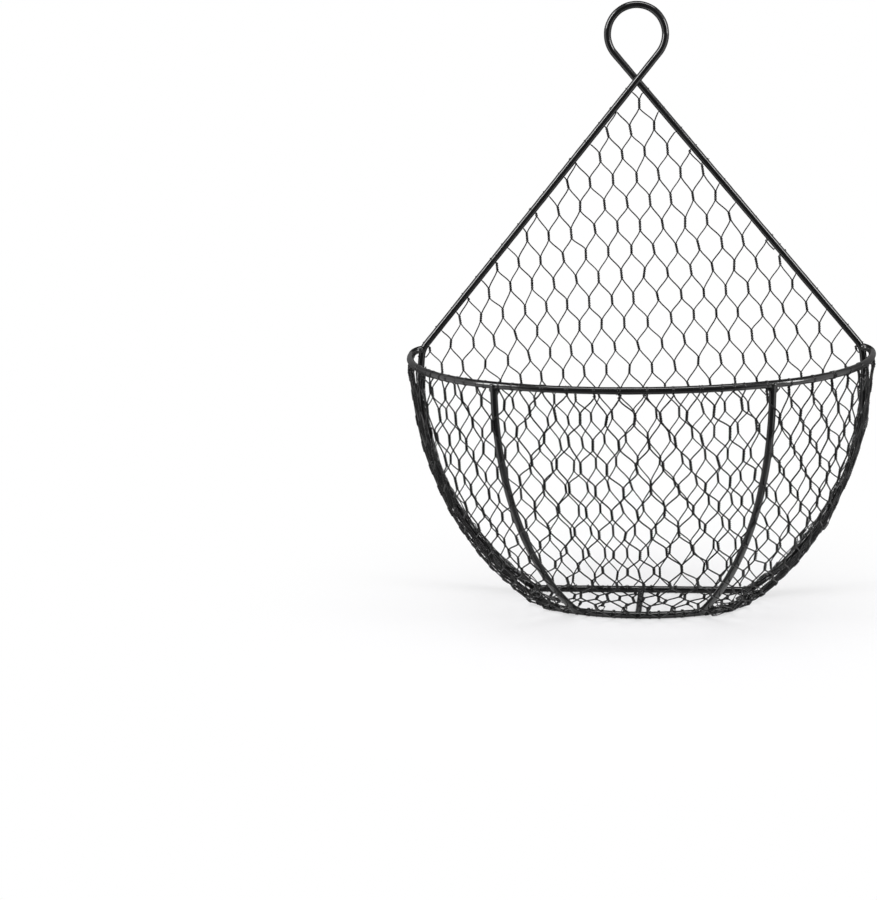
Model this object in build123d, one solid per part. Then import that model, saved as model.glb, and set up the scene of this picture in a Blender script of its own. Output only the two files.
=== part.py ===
from build123d import *
from math import asin, atan2, ceil, cos, degrees, hypot, pi, radians, sin, sqrt
import os

# Hanging fruit basket of bent and welded wire with a hexagonal wire netting.
# Millimetres, +Z up, the front towards -Y, the wall behind it at +Y.
# The origin is the middle of the footprint of the whole basket, on the surface that it stands on.

# Wires
wire_d = 4.5
bar_d = 4.0
wire_sides = 8
weld_gap = 0.3

# Rim
rim_height = 161.5
rim_half_width = 147.0
rim_depth = 127.0
rim_corner_radius = 5.0
rim_tail = 1.0

# Base
base_half_width = 69.5
base_depth = 55.5
base_straight = 10.0

# Back frame
crossing_height = 333.5
frame_inset = 5.0
shoulder_drop = 3.0
shoulder_reach = 4.5
foot_overhang = 0.7
foot_angle = 35.7
foot_reach = 4.0
loop_radius = 18.1

# Ribs
rib_top_half_width = 83.0
rib_foot_half_width = 39.7
rib_guide_share = 0.87
front_foot_angle = 38.0

# Plan of the bowl: the front arc turns by this angle to each side, and a rounder arc turns the rest
front_turn = 25.0

# Netting, which is drawn in to the legs between the hoop and the rim
net_thickness = 1.0
net_wire = 1.2
net_border = 2.0
cell_width = 17.2
cell_pitch = 17.8
twist_share = 0.47
least_gap_share = 0.12
drawn_power = 2
flare_power = 8

wire_radius = wire_d / 2
base_z = wire_radius
rim_z = base_z + rim_height
crossing_z = base_z + crossing_height
shoulder_half_width = rim_half_width - frame_inset
foot_corner_half_width = base_half_width + foot_overhang
net_seat = wire_radius + weld_gap
front_reach = rim_depth + net_seat + net_thickness
crossing_offset = (wire_d + weld_gap) / 2
back_reach = crossing_offset + wire_radius
frame_y = (front_reach - back_reach) / 2

upward = Vector(0, 0, 1)
backwards = Vector(0, 1, 0)


# Runs of wire
def rod(edges, diameter, across):
    """Wire along tangent lines and arcs, one after the other, with flats as far apart as its diameter.

    across is a direction square to the first edge, which a flat faces and which turns along with the wire.
    """
    lengths = []
    for edge in edges:
        start = edge @ 0
        heading = edge % 0
        flats = RegularPolygon(diameter / 2, wire_sides, major_radius=False, rotation=180 / wire_sides)
        section = Plane(origin=start, x_dir=across, z_dir=heading) * flats
        if edge.geom_type == GeomType.LINE:
            lengths.append(extrude(section, amount=edge.length, dir=heading))
        else:
            turn = degrees(edge.length / edge.radius)
            spin = Axis(edge.arc_center, (start - edge.arc_center).cross(heading))
            lengths.append(revolve(section, spin, turn))
            across = across.rotate(Axis((0, 0, 0), spin.direction), turn)
    joined = lengths[0]
    for length in lengths[1:]:
        joined = joined + length
    return joined


def walked(start, middle, end, straight):
    """A line or an arc between two points."""
    if straight:
        return Edge.make_line(start, end)
    return Edge.make_three_point_arc(start, middle, end)


def backward(edges):
    """The same run walked from its far end."""
    return [
        walked(edge @ 1, edge @ 0.5, edge @ 0, edge.geom_type == GeomType.LINE) for edge in reversed(edges)
    ]


def mirrored(edges):
    """The same run of wire on the other side of the middle plane, walked the other way."""
    return backward([edge.mirror(Plane.YZ) for edge in edges])


def mirror_x(point):
    return Vector(-point.X, point.Y, point.Z)


def turned(start_direction, chord):
    """Direction at the far end of an arc that leaves along start_direction and spans chord."""
    unit = chord.normalized()
    return unit * (2 * start_direction.dot(unit)) - start_direction


# Bowed wall of the bowl
class Bow:
    """Arc in height that leaves the base at an angle and ends at its reach at the rim."""

    def __init__(self, low, high, angle):
        slope = atan2(rim_height, high - low)
        self.start = radians(angle)
        self.half_turn = slope - self.start
        self.radius = hypot(high - low, rim_height) / (2 * sin(self.half_turn))
        self.centre = low - self.radius * sin(self.start)
        self.centre_z = self.radius * cos(self.start)
        self.length = self.radius * 2 * self.half_turn

    def reach(self, z, outward):
        """How far out the arc, moved outward square to itself, is at a height above the base."""
        return self.centre + sqrt((self.radius + outward) ** 2 - (z - self.centre_z) ** 2)

    def climbed(self, along):
        """Height above the base after going this far along the arc."""
        return self.radius * (cos(self.start) - cos(self.start + along / self.radius))


class Arch:
    """Half of a plan outline: a straight side, a side arc and a front arc, tangent to each other."""

    def __init__(self, half_width, depth, straight):
        rise = depth - straight
        turn = radians(front_turn)
        spread = (half_width - rise) / (sin(turn) + cos(turn) - 1)
        self.half_width = half_width
        self.depth = depth
        self.straight = straight
        self.half_angle = turn
        self.side_radius = half_width - spread * sin(turn)
        self.front_radius = self.side_radius + spread
        self.front_length = self.front_radius * turn
        self.side_length = self.side_radius * (pi / 2 - turn)
        self.half_length = self.front_length + self.side_length + straight

    def at(self, along, z):
        """Point of the outline at this length from the middle of the front."""
        side = 1 if along >= 0 else -1
        along = abs(along)
        if along <= self.front_length:
            turn = along / self.front_radius
            x = self.front_radius * sin(turn)
            y = self.depth - self.front_radius * (1 - cos(turn))
        elif along <= self.front_length + self.side_length:
            turn = self.half_angle + (along - self.front_length) / self.side_radius
            x = self.half_width - self.side_radius * (1 - sin(turn))
            y = self.straight + self.side_radius * cos(turn)
        else:
            x = self.half_width
            y = self.half_length - along
        return Vector(side * x, frame_y - y, z)

    def joint_points(self, z):
        """Ends and middles of the arcs on the right-hand side, from the middle of the front."""
        side_end = self.front_length + self.side_length
        places = (0.0, self.front_length, side_end - self.side_length / 2, side_end, self.half_length)
        return [self.at(place, z) for place in places]

    def share_at_x(self, x):
        """Share of the half outline from the middle of the front to the point this far out."""
        if x <= self.front_radius * sin(self.half_angle):
            return self.front_radius * asin(x / self.front_radius) / self.half_length
        turn = asin((x - self.half_width + self.side_radius) / self.side_radius)
        return (self.front_length + self.side_radius * (turn - self.half_angle)) / self.half_length


side_bow = Bow(base_half_width, shoulder_half_width, foot_angle)
front_bow = Bow(base_depth, rim_depth, front_foot_angle)


def wall(z, outward):
    """Outline of the bowl at a height above the base, moved outward square to the wall.

    Nothing holds the netting out beside the legs, so there it is drawn in to them, and flares to the rim.
    """
    share = z / rim_height
    drawn_in = net_seat * (1 - (2 * share - 1) ** drawn_power)
    flare = frame_inset * share**flare_power
    rim_straight = wire_d + weld_gap + rim_corner_radius
    straight = base_straight + (rim_straight - base_straight) * share
    return Arch(side_bow.reach(z, outward) - drawn_in + flare, front_bow.reach(z, outward), straight)


# Centrelines of the frame
def leg_and_diagonal(side, offset):
    """One half of the back frame, from the middle of the bottom bar to the start of the loop."""
    foot = Vector(side * foot_corner_half_width, frame_y, base_z)
    climb = Vector(side * cos(radians(foot_angle)), 0, sin(radians(foot_angle)))
    leg_start = foot + climb * foot_reach
    bar_end = foot - Vector(side * foot_reach, 0, 0)
    leg_end = Vector(side * shoulder_half_width, frame_y, rim_z - shoulder_drop)
    lean = turned(climb, leg_end - leg_start)
    shoulder = leg_end + lean * shoulder_reach
    crossing = Vector(0, frame_y + offset, crossing_z)
    rise = (crossing - shoulder).normalized()
    diagonal_start = shoulder + rise * shoulder_reach
    past_crossing = loop_radius / (abs(rise.X) / rise.Z)
    edges = [
        Edge.make_line(Vector(0, frame_y, base_z), bar_end),
        Edge.make_tangent_arc(bar_end, Vector(side, 0, 0), leg_start),
        Edge.make_tangent_arc(leg_start, climb, leg_end),
        Edge.make_tangent_arc(leg_end, lean, diagonal_start),
        Edge.make_line(diagonal_start, crossing + rise * past_crossing),
    ]
    return edges, rise


def back_frame_runs():
    """The whole wire: each half from the bottom bar to the loop, with the strands crossing, and the loop."""
    left, left_rise = leg_and_diagonal(-1, -crossing_offset)
    right, _ = leg_and_diagonal(1, crossing_offset)
    start = left[-1] @ 1
    across = start.X
    behind = frame_y - start.Y
    run = left_rise.X * across - left_rise.Y * behind
    lift = (run + sqrt(run**2 + left_rise.Z**2 * (across**2 + behind**2))) / left_rise.Z
    top = Vector(0, frame_y, start.Z + lift)
    over = turned(left_rise, top - start)
    loop = [
        Edge.make_tangent_arc(start, left_rise, top),
        Edge.make_tangent_arc(top, over, right[-1] @ 1),
    ]
    return left, loop, right


def front_arc(plan, z):
    """The front arc of an outline, from left to right, and the side arc on the right."""
    middle, arc_joint, side_middle, side_end, _ = plan.joint_points(z)
    front = Edge.make_three_point_arc(mirror_x(arc_joint), middle, arc_joint)
    return front, Edge.make_three_point_arc(arc_joint, side_middle, side_end)


def rim_edges():
    """The D-shaped rim, whose two ends turn in and lie across the front of the frame's shoulders."""
    plan = wall(rim_height, 0)
    front, side_arc = front_arc(plan, rim_z)
    side_end = side_arc @ 1
    corner_end = side_end + Vector(-rim_corner_radius, rim_corner_radius, 0)
    right = [
        side_arc,
        Edge.make_tangent_arc(side_end, backwards, corner_end),
        Edge.make_line(corner_end, corner_end - Vector(rim_tail, 0, 0)),
    ]
    return mirrored(right) + [front] + right


def hoop_edges():
    """The D-shaped base hoop, whose ends meet the bottom bar of the frame."""
    plan = wall(0, 0)
    front, side_arc = front_arc(plan, base_z)
    right = [side_arc, Edge.make_line(side_arc @ 1, plan.at(plan.half_length, base_z))]
    return mirrored(right) + [front] + right


def rib_edge(side):
    """One front rib, an arc along the inside of the bowed wall, which it meets at the ends and at a guide."""
    foot_share = wall(0, 0).share_at_x(rib_foot_half_width)
    top_share = wall(rim_height, 0).share_at_x(rib_top_half_width)
    points = []
    for height_share in (0, rib_guide_share, 1):
        z = rim_height * height_share
        plan = wall(z, 0)
        share = foot_share + (top_share - foot_share) * height_share
        points.append(plan.at(side * share * plan.half_length, base_z + z))
    return Edge.make_three_point_arc(*points)


# Hexagonal netting
def hexagon():
    """Corners of one gap of the netting about its own middle, with upright twisted sides."""
    twist = cell_pitch * twist_share
    slant = cell_pitch - twist
    half_width = cell_width / 2
    steepness = slant / half_width
    side_x = half_width - net_wire / 2
    peak_z = twist / 2 + slant - net_wire / 2 * hypot(1, steepness)
    side_z = peak_z - steepness * side_x
    right = [(side_x, -side_z), (side_x, side_z), (0, peak_z)]
    return right + [(-x, -z) for x, z in right]


def trimmed(corners, room):
    """The part of an outline where room, the distance inside the border, is above zero."""
    kept = []
    for here, there in zip(corners, corners[1:] + corners[:1]):
        room_here, room_there = room(*here), room(*there)
        if room_here > 0:
            kept.append(here)
        if room_here * room_there < 0:
            share = room_here / (room_here - room_there)
            kept.append(tuple(a + (b - a) * share for a, b in zip(here, there)))
    return kept


def area_of(corners):
    pairs = zip(corners, corners[1:] + corners[:1])
    return abs(sum(a[0] * b[1] - b[0] * a[1] for a, b in pairs)) / 2


def gaps(half_width, height, room):
    """Every gap of a net that is this wide and high, row by row, trimmed to its border."""
    least = least_gap_share * area_of(hexagon())
    found = []
    for row in range(ceil(height / cell_pitch) + 1):
        shift = cell_width / 2 * (row % 2)
        count = ceil((half_width + shift) / cell_width)
        for column in range(-count, count + 1):
            middle = (column * cell_width + shift, row * cell_pitch)
            outline = trimmed([(middle[0] + x, middle[1] + z) for x, z in hexagon()], room)
            if len(outline) > 2 and area_of(outline) > least:
                found.append(outline)
    return found


def outline_wire(points):
    return Wire.make_polygon(points, close=True)


def back_net():
    """Flat netting inside the back frame, from the crossing down to the bottom bar."""
    flat_left, _ = leg_and_diagonal(-1, 0)
    flat_right, _ = leg_and_diagonal(1, 0)
    apex = Vector(0, frame_y, crossing_z)
    right = flat_right[:4] + [Edge.make_line(flat_right[3] @ 1, apex)]
    left = flat_left[:4] + [Edge.make_line(flat_left[3] @ 1, apex)]
    outer = Wire(right + backward(left)).offset_2d(-net_seat)
    leg = flat_right[2]
    centre = leg.arc_center
    shoulder = flat_right[3] @ 1
    down = (shoulder - apex).normalized()
    bottom = base_z + net_seat + net_border

    def room(x, z):
        from_centre = hypot(abs(x) - centre.X, bottom + z - centre.Z)
        inside_leg = leg.radius - net_seat - net_border - from_centre
        outside_diagonal = (bottom + z - apex.Z) * down.X - abs(x) * down.Z
        inside_diagonal = -outside_diagonal - net_seat - net_border
        return min(z, inside_diagonal if bottom + z > shoulder.Z else min(inside_leg, inside_diagonal))

    holes = [
        outline_wire([Vector(x, frame_y, bottom + z) for x, z in outline])
        for outline in gaps(rim_half_width, crossing_height, room)
    ]
    return extrude(Face(outer, holes), amount=net_thickness / 2, dir=backwards, both=True)


def base_net():
    """Flat netting of the floor, on top of the base bar and inside the hoop."""
    plan = wall(0, 0)
    inner = Arch(plan.half_width - net_seat, plan.depth - net_seat, plan.straight)
    back_y = frame_y - net_seat
    floor_z = base_z + bar_d / 2 + weld_gap
    front, side_arc = front_arc(inner, floor_z)
    side_end = side_arc @ 1
    corner = Vector(side_end.X, back_y, floor_z)
    right = [side_arc, Edge.make_line(side_end, corner)]
    back = Edge.make_line(corner, mirror_x(corner))
    outer = Wire([front] + right + [back] + mirrored(right))
    border_y = back_y - net_border

    def room(x, y):
        depth = frame_y - border_y + y
        from_front = inner.front_radius - hypot(x, depth - inner.depth + inner.front_radius)
        side_x = max(abs(x) - inner.half_width + inner.side_radius, 0)
        side_y = max(depth - inner.straight, 0)
        from_side = inner.side_radius - hypot(side_x, side_y)
        return min(y, min(from_front, from_side) - net_border)

    holes = [
        outline_wire([Vector(x, border_y - y, floor_z) for x, y in outline])
        for outline in gaps(base_half_width, base_depth, room)
    ]
    return extrude(Face(outer, holes), amount=net_thickness, dir=upward)


def bowl_net():
    """Netting round the front of the bowl, outside the ribs, from the hoop up to the rim.

    Its gaps are laid out flat, by the length round the wall and the length up the wall, and then bent
    to the wall, so that it is as thick everywhere and each of its struts lies along the bowed surface.
    """
    height = side_bow.length
    middle_skin = net_seat + net_thickness / 2

    def half_length(along):
        return wall(side_bow.climbed(along), middle_skin).half_length - net_seat

    def on_wall(x, along, outward):
        z = side_bow.climbed(along)
        share = x / wall(z, middle_skin).half_length
        plan = wall(z, outward)
        return plan.at(share * plan.half_length, base_z + z)

    def room(x, along):
        if along < 0 or along > height:
            return -abs(along)
        return min(along, height - along, half_length(along) - abs(x)) - net_border

    rows = ceil(2 * height / cell_width)
    sides = [height * row / rows for row in range(rows + 1)]
    right_edge = [(half_length(along), along) for along in sides]
    left_edge = [(-x, along) for x, along in reversed(right_edge)]
    ends = []
    for along in (height, 0):
        reach = half_length(along)
        columns = 2 * ceil(2 * reach / cell_width)
        ends.append([(reach - 2 * reach * column / columns, along) for column in range(1, columns)])
    border = right_edge + ends[0] + left_edge + ends[1][::-1]
    outlines = gaps(half_length(height), height, room)
    flat = Face(
        outline_wire([Vector(x, along, 0) for x, along in border]),
        [outline_wire([Vector(x, along, 0) for x, along in outline]) for outline in outlines],
    )
    corners, triangles = flat.tessellate(cell_width)
    faces = []
    for outward, turn in ((net_seat, -1), (net_seat + net_thickness, 1)):
        skin = [on_wall(corner.X, corner.Y, outward) for corner in corners]
        faces += [Face(outline_wire([skin[i] for i in triangle[::turn]])) for triangle in triangles]
    for outline in [border] + outlines:
        for here, there in zip(outline, outline[1:] + outline[:1]):
            low = [on_wall(*point, net_seat) for point in (here, there)]
            high = [on_wall(*point, net_seat + net_thickness) for point in (there, here)]
            faces.append(Face(outline_wire([low[0], low[1], high[0]])))
            faces.append(Face(outline_wire([low[0], high[0], high[1]])))
    return Solid(Shell(faces))


# Seats: room for each wire and the gap of its welds
left_half, loop, right_half = back_frame_runs()
seat_d = wire_d + 2 * weld_gap
rim_seat = rod(rim_edges(), seat_d, upward)
hoop_seat = rod(hoop_edges(), seat_d, upward)
foot_seat = rod(backward(left_half[:3]) + right_half[:3], seat_d, backwards)

bar_front = Vector(0, frame_y - base_depth, base_z)
bar_edge = Edge.make_line(Vector(0, frame_y, base_z), bar_front)

parts = {
    "back_frame": rod(left_half + loop + backward(right_half), wire_d, backwards),
    "rim": rod(rim_edges(), wire_d, upward),
    "base_hoop": rod(hoop_edges(), wire_d, upward) - foot_seat,
    "base_bar": rod([bar_edge], bar_d, upward) - foot_seat - hoop_seat,
    "back_netting": back_net(),
    "base_netting": base_net(),
    "bowl_netting": bowl_net(),
}
for name, side in (("rib_left", -1), ("rib_right", 1)):
    rib = rib_edge(side)
    parts[name] = rod([rib], wire_d, rib.normal()) - rim_seat - hoop_seat

os.makedirs("parts", exist_ok=True)
for name, solid in parts.items():
    export_step(solid, f"parts/{name}.step")
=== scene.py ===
from math import ceil, cos, pi, radians, sin, sqrt
import bpy
import numpy as np
from mathutils import Matrix, Vector

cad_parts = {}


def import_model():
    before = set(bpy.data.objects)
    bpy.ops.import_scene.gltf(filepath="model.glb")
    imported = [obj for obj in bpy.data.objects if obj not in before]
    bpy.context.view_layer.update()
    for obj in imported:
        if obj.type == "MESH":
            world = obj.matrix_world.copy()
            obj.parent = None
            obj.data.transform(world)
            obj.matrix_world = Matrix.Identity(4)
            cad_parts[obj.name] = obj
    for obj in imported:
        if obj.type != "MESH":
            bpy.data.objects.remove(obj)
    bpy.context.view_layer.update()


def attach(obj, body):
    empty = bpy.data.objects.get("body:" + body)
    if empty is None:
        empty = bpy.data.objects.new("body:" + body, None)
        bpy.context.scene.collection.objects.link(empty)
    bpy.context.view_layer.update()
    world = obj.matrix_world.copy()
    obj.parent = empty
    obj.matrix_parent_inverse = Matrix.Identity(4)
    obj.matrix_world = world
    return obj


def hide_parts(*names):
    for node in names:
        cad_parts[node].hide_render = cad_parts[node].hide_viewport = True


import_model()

# A hanging fruit basket of bent wire with hexagonal netting. Sizes are in millimetres, except those
# of the materials and of the stage at the end, which are in metres.
MM = 0.001
rng = np.random.default_rng(7)

# Radii of the wires
WIRE_R = 2.25
BAR_R = 2.0
NET_R = 0.48
PANEL_NET_R = 0.43
BUNDLE_NET_R = 0.36

# Frame, rim and base, as in the construction model
WELD_GAP = 0.3
SHEET_THICKNESS = 1.0
RIM_HEIGHT = 161.5
RIM_HALF_WIDTH = 147.0
RIM_DEPTH = 127.0
RIM_CORNER = 5.0
BASE_HALF_WIDTH = 69.5
BASE_DEPTH = 55.5
BASE_STRAIGHT = 10.0
CROSSING_HEIGHT = 333.5
FRAME_INSET = 5.0
SHOULDER_DROP = 3.0
SHOULDER_REACH = 4.5
FOOT_OVERHANG = 0.7
FOOT_ANGLE = radians(35.7)
FOOT_REACH = 4.0
FRONT_FOOT_ANGLE = radians(38.0)
FRONT_TURN = radians(25.0)
LOOP_R = 18.1
RIB_TOP = 83.0
RIB_FOOT = 39.7
NET_SEAT = WIRE_R + WELD_GAP
RIM_STRAIGHT = 2 * WIRE_R + WELD_GAP + RIM_CORNER
SHOULDER_HALF_WIDTH = RIM_HALF_WIDTH - FRAME_INSET
FOOT_HALF_WIDTH = BASE_HALF_WIDTH + FOOT_OVERHANG
CROSSING_OFFSET = WIRE_R + WELD_GAP / 2
FRAME_Y = (RIM_DEPTH + NET_SEAT + SHEET_THICKNESS - CROSSING_OFFSET - WIRE_R) / 2
BASE_Z = WIRE_R
RIM_Z = BASE_Z + RIM_HEIGHT
CROSSING_Z = BASE_Z + CROSSING_HEIGHT

# Other than in the construction model: the height share of the ribs' guide, the power of the wall's
# last bend outward to the rim, and the rim's ends. These bend off this long before the legs, end
# this far in from the rim's half width, in front of the legs and lifted, and start with this slope
RIB_GUIDE_SHARE = 0.62
FLARE_POWER = 16
RIM_BEND = 3.0
RIM_END_INWARD = 5.6
RIM_END_GAP = 0.1
RIM_END_LIFT = 2.3
RIM_END_SLOPE = 0.25


# Curves
def vec(*values):
    return np.array(values, float)


def unit(v):
    return v / np.linalg.norm(v, axis=-1, keepdims=True)


def eased(share):
    """A share from 0 to 1 with soft ends."""
    return share * share * (3 - 2 * share)


def line(start, end, step=2.0):
    count = max(int(np.linalg.norm(end - start) / step), 1)
    share = np.linspace(0, 1, count + 1)[:, None]
    return start + (end - start) * share


def tangent_arc(start, heading, end, step=1.2):
    """Points of the arc that leaves start along heading and reaches end, and its heading there."""
    heading = unit(heading)
    chord = unit(end - start)
    length = np.linalg.norm(end - start)
    cosine = float(np.dot(heading, chord))
    inward = unit(chord - heading * cosine)
    half_turn = np.arccos(cosine)
    radius = length / (2 * sin(half_turn))
    count = max(int(2 * half_turn * radius / step), 6)
    turn = np.linspace(0, 2 * half_turn, count + 1)[:, None]
    centre = start + radius * inward
    points = centre - radius * np.cos(turn) * inward + radius * np.sin(turn) * heading
    return points, 2 * chord * cosine - heading


def arc_through(start, middle, end, count=80):
    """Points of the arc through three points."""
    a, b = middle - start, end - start
    normal = np.cross(a, b)
    to_centre = np.cross(normal, a) * b.dot(b) + np.cross(b, normal) * a.dot(a)
    to_centre = to_centre / (2 * normal.dot(normal))
    centre = start + to_centre
    x = unit(start - centre)
    y = unit(np.cross(normal, x))
    radius = np.linalg.norm(to_centre)
    turn = np.arctan2((end - centre).dot(y), (end - centre).dot(x)) % (2 * pi)
    angle = np.linspace(0, turn, count)[:, None]
    return centre + radius * (np.cos(angle) * x + np.sin(angle) * y)


def chain(*runs):
    """Runs of points joined into one, without the doubled ends."""
    return np.concatenate([runs[0], *(run[1:] for run in runs[1:])])


def lengths_of(points):
    return np.concatenate([[0], np.cumsum(np.linalg.norm(np.diff(points, axis=0), axis=1))])


def between(places, along, values):
    """Vectors at these places, from those known at the lengths along a line."""
    return np.stack([np.interp(places, along, values[:, k]) for k in range(3)], -1)


def resampled(points, step):
    along = lengths_of(points)
    count = max(int(along[-1] / step), 2)
    return between(np.linspace(0, along[-1], count + 1), along, points)


# The bowed wall of the bowl
def bowed(z, low, high, angle, outward):
    chord = np.hypot(high - low, RIM_HEIGHT)
    slope = np.arctan2(RIM_HEIGHT, high - low)
    radius = chord / (2 * np.sin(slope - angle))
    centre = low - radius * np.sin(angle)
    centre_z = radius * np.cos(angle)
    return centre + np.sqrt((radius + outward) ** 2 - (z - centre_z) ** 2)


def plan_at(z, outward):
    """Sizes of the outline of the bowl at a height above the base."""
    share = z / RIM_HEIGHT
    half_width = bowed(z, BASE_HALF_WIDTH, SHOULDER_HALF_WIDTH, FOOT_ANGLE, outward)
    half_width = half_width - NET_SEAT * (1 - (2 * share - 1) ** 2)
    half_width = half_width + FRAME_INSET * share**FLARE_POWER
    depth = bowed(z, BASE_DEPTH, RIM_DEPTH, FRONT_FOOT_ANGLE, outward)
    straight = BASE_STRAIGHT + (RIM_STRAIGHT - BASE_STRAIGHT) * share
    rise = depth - straight
    spread = (half_width - rise) / (sin(FRONT_TURN) + cos(FRONT_TURN) - 1)
    side_r = half_width - spread * sin(FRONT_TURN)
    front_r = side_r + spread
    return half_width, depth, straight, side_r, front_r


def half_length(z, outward):
    _, _, straight, side_r, front_r = plan_at(z, outward)
    return front_r * FRONT_TURN + side_r * (pi / 2 - FRONT_TURN) + straight


def wall_point(along, z, outward):
    """Points of the wall, by length from the middle of the front and height above the base."""
    half_width, depth, straight, side_r, front_r = plan_at(z, outward)
    side = np.where(along >= 0, 1.0, -1.0)
    along = np.abs(along)
    front = front_r * FRONT_TURN
    total = half_length(z, outward)
    turn_a = along / front_r
    turn_b = np.minimum(FRONT_TURN + (along - front) / side_r, pi / 2)
    on_front = along <= front
    on_arcs = on_front | (along <= total - straight)
    x = np.where(on_front, front_r * np.sin(turn_a), half_width - side_r * (1 - np.sin(turn_b)))
    y = np.where(
        on_front, depth - front_r * (1 - np.cos(turn_a)), straight + side_r * np.cos(turn_b)
    )
    x = np.where(on_arcs, x, half_width)
    y = np.where(on_arcs, y, total - along)
    return np.stack([side * x, FRAME_Y - y, BASE_Z + z + 0 * x], -1)


SLOPE = np.arctan2(RIM_HEIGHT, SHOULDER_HALF_WIDTH - BASE_HALF_WIDTH)
CHORD = np.hypot(SHOULDER_HALF_WIDTH - BASE_HALF_WIDTH, RIM_HEIGHT)
SIDE_R = CHORD / (2 * sin(SLOPE - FOOT_ANGLE))
CLIMB = SIDE_R * 2 * (SLOPE - FOOT_ANGLE)


def climbed(along):
    """Height reached after going this far up the side of the wall."""
    return SIDE_R * (np.cos(FOOT_ANGLE) - np.cos(FOOT_ANGLE + along / SIDE_R))


# Centrelines of the thick wires
RUNS = ("bar", "corner", "leg", "bend", "diagonal")
RIM_POINTS = 420
HOOP_POINTS = 240


def frame_half(side, offset):
    """Runs of one half of the frame wire, whose diagonal crosses the middle this far back."""
    foot = vec(side * FOOT_HALF_WIDTH, FRAME_Y, BASE_Z)
    climb = vec(side * cos(FOOT_ANGLE), 0, sin(FOOT_ANGLE))
    bar_end = foot - vec(side * FOOT_REACH, 0, 0)
    leg_start = foot + climb * FOOT_REACH
    leg_end = vec(side * SHOULDER_HALF_WIDTH, FRAME_Y, RIM_Z - SHOULDER_DROP)
    corner, _ = tangent_arc(bar_end, vec(side, 0, 0), leg_start)
    leg, lean = tangent_arc(leg_start, climb, leg_end)
    shoulder = leg_end + lean * SHOULDER_REACH
    crossing = vec(0, FRAME_Y + offset, CROSSING_Z)
    rise = unit(crossing - shoulder)
    diagonal_start = shoulder + rise * SHOULDER_REACH
    loop_start = crossing + rise * LOOP_R / (abs(rise[0]) / rise[2])
    bend, _ = tangent_arc(leg_end, lean, diagonal_start)
    return {
        "bar": line(vec(0, FRAME_Y, BASE_Z), bar_end),
        "corner": corner,
        "leg": leg,
        "bend": bend,
        "diagonal": line(diagonal_start, loop_start),
        "rise": rise,
    }


def joined(half, names=RUNS):
    return chain(*[half[name] for name in names])


LEFT = frame_half(-1, -CROSSING_OFFSET)
RIGHT = frame_half(1, CROSSING_OFFSET)


def frame_line():
    """The whole frame wire, from the middle of the bottom bar round to it again."""
    start = LEFT["diagonal"][-1]
    rise = LEFT["rise"]
    behind = FRAME_Y - start[1]
    run = rise[0] * start[0] - rise[1] * behind
    lift = (run + sqrt(run**2 + rise[2] ** 2 * (start[0] ** 2 + behind**2))) / rise[2]
    top = vec(0, FRAME_Y, start[2] + lift)
    first, over = tangent_arc(start, rise, top)
    second, _ = tangent_arc(top, over, RIGHT["diagonal"][-1])
    return chain(joined(LEFT), first, second, joined(RIGHT)[::-1])


def rim_line():
    total = half_length(RIM_HEIGHT, 0)
    _, _, straight, _, _ = plan_at(RIM_HEIGHT, 0)
    along = np.linspace(-(total - straight), total - straight, RIM_POINTS)
    arcs = wall_point(along, RIM_HEIGHT + 0 * along, 0)
    skip = int(RIM_BEND / lengths_of(arcs)[1])
    arcs = arcs[skip:-skip]
    ends = []
    for side, end in ((-1, arcs[0]), (1, arcs[-1])):
        tip = vec(
            side * (RIM_HALF_WIDTH - RIM_END_INWARD),
            FRAME_Y - 2 * WIRE_R - RIM_END_GAP,
            RIM_Z + RIM_END_LIFT,
        )
        ends.append(tangent_arc(end, vec(0, 1, RIM_END_SLOPE), tip)[0])
    return chain(ends[0][::-1], arcs, ends[1])


def hoop_line():
    total = half_length(0.0, 0)
    along = np.linspace(-total, total, HOOP_POINTS)
    return wall_point(along, 0 * along, 0)


def along_at_x(z, x):
    """Length from the middle of the front to where the wall reaches x."""
    places = np.linspace(0, half_length(z, 0), 800)
    return np.interp(x, wall_point(places, z + 0 * places, 0)[:, 0], places)


def rib_line(side):
    foot_share = along_at_x(0.0, RIB_FOOT) / half_length(0.0, 0)
    top_share = along_at_x(RIM_HEIGHT, RIB_TOP) / half_length(RIM_HEIGHT, 0)
    points = []
    for level in (0.0, RIB_GUIDE_SHARE, 1.0):
        z = RIM_HEIGHT * level
        share = foot_share + (top_share - foot_share) * level
        points.append(wall_point(np.array(side * share * half_length(z, 0)), z, 0))
    return arc_through(*points)


FRAME = frame_line()
RIM = rim_line()
HOOP = hoop_line()
RIBS = {-1: rib_line(-1), 1: rib_line(1)}
BAR = line(vec(0, FRAME_Y - WIRE_R, BASE_Z), vec(0, FRAME_Y - BASE_DEPTH + WIRE_R, BASE_Z))


# Meshes
def frames_of(points):
    """Two directions square to the line at each point, which turn with it, and its heading."""
    heads = np.gradient(points, axis=0)
    heads = unit(heads + 1e-12)
    first = np.cross(heads[0], vec(0, 0, 1))
    if np.linalg.norm(first) < 0.1:
        first = np.cross(heads[0], vec(0, 1, 0))
    sides = np.empty_like(points)
    side = unit(first)
    for i, head in enumerate(heads):
        side = side - head * side.dot(head)
        side = side / sqrt(side.dot(side))
        sides[i] = side
    return sides, np.cross(heads, sides), heads


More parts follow.
